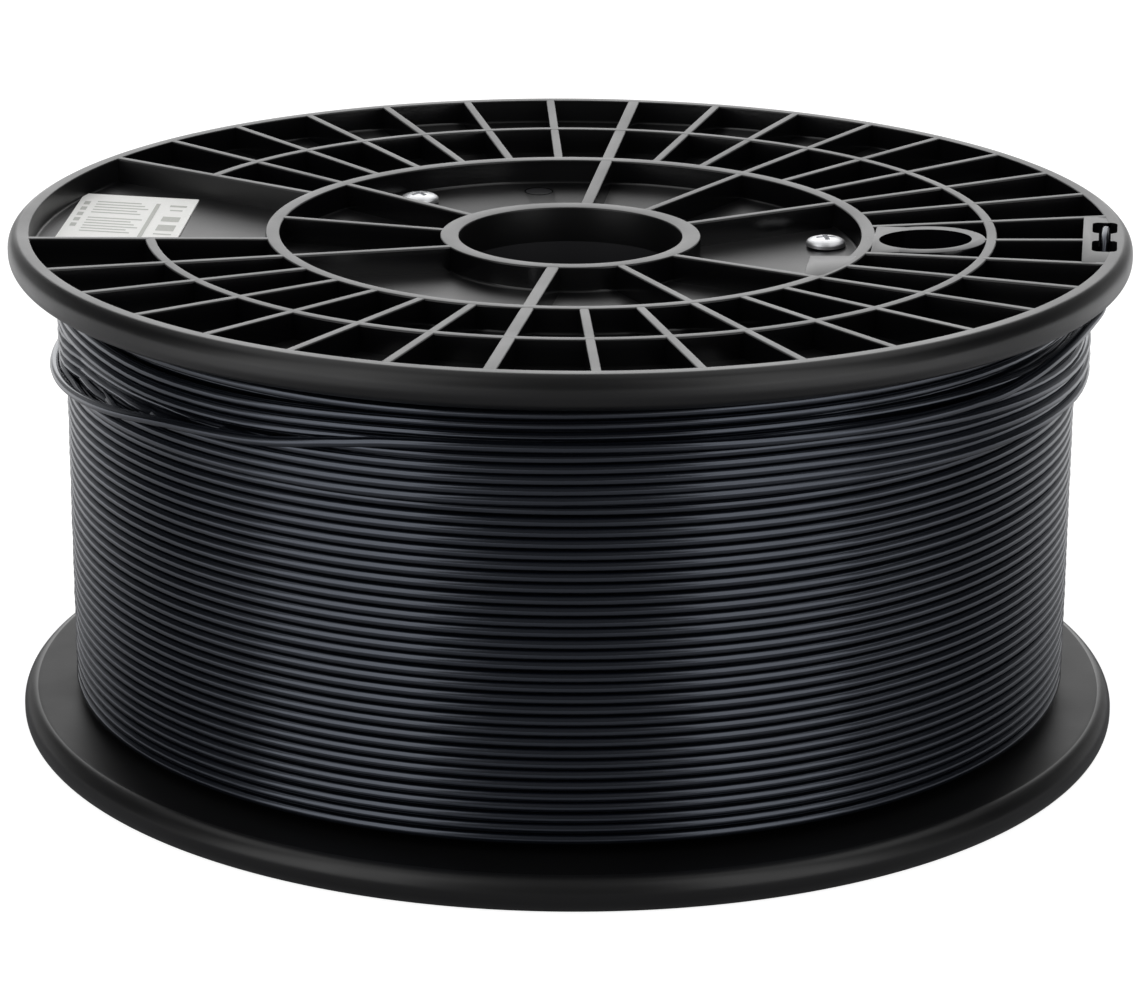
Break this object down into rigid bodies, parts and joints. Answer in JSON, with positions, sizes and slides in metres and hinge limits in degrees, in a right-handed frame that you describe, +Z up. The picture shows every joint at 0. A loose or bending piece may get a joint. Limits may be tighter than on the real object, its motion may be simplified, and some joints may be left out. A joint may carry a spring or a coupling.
{
  "type": "filament spool",
  "caption": "Black plastic filament spool: two dished, ribbed flanges screwed to a hollow drum with a hub bore, wound with black filament whose end is held in a rim clip.",
  "frame": {"origin": "centre of the face that the spool stands on, on the bore's axis", "axes": "+Z up along the bore's axis, +X through the upper flange's rim clip"},
  "size_m": [0.2, 0.2, 0.0914],
  "materials": {
    "spool_plastic": "satin black moulded plastic",
    "filament": "smooth black filament",
    "screw_steel": "bright plated steel",
    "label_paper": "matte white sticker"
  },
  "bodies": {
    "root": {"upper_flange": "spool_plastic", "lower_flange": "spool_plastic", "drum_core": "spool_plastic", "upper_screw_1": "screw_steel", "upper_screw_2": "screw_steel", "upper_screw_3": "screw_steel", "lower_screw_1": "screw_steel", "lower_screw_2": "screw_steel", "lower_screw_3": "screw_steel", "label": "label_paper", "winding_core": "filament", "winding_layer": "filament", "last_turns": "filament", "filament_tail": "filament"}
  },
  "joints": []
}
